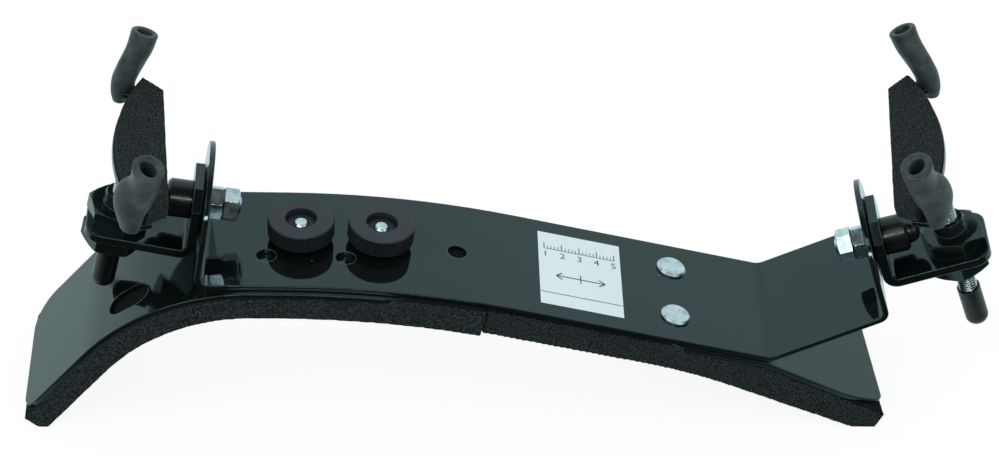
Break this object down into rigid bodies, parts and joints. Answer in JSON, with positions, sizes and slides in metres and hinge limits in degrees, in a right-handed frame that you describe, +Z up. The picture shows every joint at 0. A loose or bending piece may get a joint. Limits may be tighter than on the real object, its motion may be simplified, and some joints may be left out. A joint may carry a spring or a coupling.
{
  "type": "violin shoulder rest",
  "caption": "Shoulder rest for a violin: a bent plate on shaped foam, with a hook over the shoulder and two height-adjustable padded forks that grip the violin's edges.",
  "frame": {"origin": "on the table, under the middle of the rest's bounding box", "axes": "+X towards the chest end, +Y towards the back (away from the player), +Z up from the shoulder towards the violin"},
  "size_m": [0.2564, 0.0704, 0.0978],
  "materials": {
    "coated_plate": "gloss black powder coat, with fine orange peel",
    "coated_bars": "satin black powder coat, finely textured",
    "black_steel": "black coated steel nuts, bushings and washers, half gloss",
    "zinc": "bright zinc plate",
    "black_nylon": "matte, fine ribs on the knobs",
    "foam": "closed-cell foam, dark grey speckle",
    "rubber": "matte grey-green rubber",
    "label": "white coated sticker with plain scale marks"
  },
  "bodies": {
    "bridge": {"bridge_plate": "coated_plate", "label": "label", "bar_rivets": "zinc", "chest_bar": "coated_bars", "shoulder_hook": "coated_bars", "hook_studs": "zinc", "hook_foam": "foam", "chest_foam": "foam", "shoulder_pivot_stud": "zinc", "shoulder_pivot_nut": "zinc", "shoulder_pivot_lock_nut": "zinc", "shoulder_pivot_washer": "black_steel", "shoulder_cap_nut": "black_nylon", "chest_pivot_stud": "zinc", "chest_pivot_nut": "zinc", "chest_pivot_lock_nut": "zinc", "chest_pivot_washer": "black_steel", "chest_cap_nut": "black_nylon"},
    "shoulder_foot": {"shoulder_foot_bracket": "coated_plate", "shoulder_height_bushing": "black_steel", "shoulder_clamp_nut": "black_steel"},
    "shoulder_lift": {"shoulder_swivel_washer": "zinc"},
    "shoulder_screw": {"shoulder_spindle": "zinc", "shoulder_end_cap": "black_nylon"},
    "shoulder_grip": {"shoulder_fork": "coated_plate", "shoulder_fork_pad": "foam", "shoulder_back_sleeve": "rubber", "shoulder_front_sleeve": "rubber"},
    "chest_foot": {"chest_foot_bracket": "coated_plate", "chest_height_bushing": "black_steel", "chest_clamp_nut": "black_steel"},
    "chest_lift": {"chest_swivel_washer": "zinc"},
    "chest_screw": {"chest_spindle": "zinc", "chest_end_cap": "black_nylon"},
    "chest_grip": {"chest_fork": "coated_plate", "chest_fork_pad": "foam", "chest_back_sleeve": "rubber", "chest_front_sleeve": "rubber"},
    "nut_1_lift": {"thumb_nut_insert_1": "black_steel"},
    "nut_1": {"thumb_nut_1": "black_nylon"},
    "nut_2_lift": {"thumb_nut_insert_2": "black_steel"},
    "nut_2": {"thumb_nut_2": "black_nylon"}
  },
  "joints": [
    {"name": "shoulder_foot_tilt", "type": "hinge", "parent": "bridge", "child": "shoulder_foot", "pos_m": [-0.07902, 0.0009, 0.05901], "axis": [-0.9877, 0, 0.1564], "range_deg": [-15, 15]},
    {"name": "shoulder_height", "type": "slide", "parent": "shoulder_foot", "child": "shoulder_lift", "axis": [0.2198, 0, 0.9755], "range_m": [-0.0006, 0.0023]},
    {"name": "shoulder_screw_turn", "type": "hinge", "parent": "shoulder_lift", "child": "shoulder_screw", "pos_m": [-0.10284, 0.0009, 0.05443], "axis": [0.2198, 0, 0.9755], "range_deg": [-279, 1044]},
    {"name": "shoulder_fork_swivel", "type": "hinge", "parent": "shoulder_lift", "child": "shoulder_grip", "pos_m": [-0.09864, 0.0009, 0.07306], "axis": [0.2198, 0, 0.9755], "range_deg": [-20, 20]},
    {"name": "chest_foot_tilt", "type": "hinge", "parent": "bridge", "child": "chest_foot", "pos_m": [0.09362, 0.0009, 0.04711], "axis": [0.9542, 0, 0.299], "range_deg": [-15, 15]},
    {"name": "chest_height", "type": "slide", "parent": "chest_foot", "child": "chest_lift", "axis": [-0.3289, 0, 0.9444], "range_m": [-0.014, 0.0081]},
    {"name": "chest_screw_turn", "type": "hinge", "parent": "chest_lift", "child": "chest_screw", "pos_m": [0.11653, 0.0009, 0.04719], "axis": [-0.3289, 0, 0.9444], "range_deg": [-6309, 3654]},
    {"name": "chest_fork_swivel", "type": "hinge", "parent": "chest_lift", "child": "chest_grip", "pos_m": [0.10665, 0.0009, 0.07557], "axis": [-0.3289, 0, 0.9444], "range_deg": [-20, 20]},
    {"name": "thumb_nut_1_travel", "type": "slide", "parent": "bridge", "child": "nut_1_lift", "axis": [0.0243, 0, 0.9997], "range_m": [0, 0.0021]},
    {"name": "thumb_nut_1_turn", "type": "hinge", "parent": "nut_1_lift", "child": "nut_1", "pos_m": [-0.05523, 0.0009, 0.04686], "axis": [0.0243, 0, 0.9997], "range_deg": [-9, 1089]},
    {"name": "thumb_nut_2_travel", "type": "slide", "parent": "bridge", "child": "nut_2_lift", "axis": [0.1011, 0, 0.9949], "range_m": [0, 0.0021]},
    {"name": "thumb_nut_2_turn", "type": "hinge", "parent": "nut_2_lift", "child": "nut_2", "pos_m": [-0.03465, 0.0009, 0.04556], "axis": [0.1011, 0, 0.9949], "range_deg": [-9, 1089]}
  ],
  "couplings": [
    {"joint": "shoulder_screw_turn", "follows": "shoulder_height", "rad_per_m": 7854},
    {"joint": "chest_screw_turn", "follows": "chest_height", "rad_per_m": 7854},
    {"joint": "thumb_nut_1_turn", "follows": "thumb_nut_1_travel", "rad_per_m": 8976},
    {"joint": "thumb_nut_2_turn", "follows": "thumb_nut_2_travel", "rad_per_m": 8976}
  ]
}
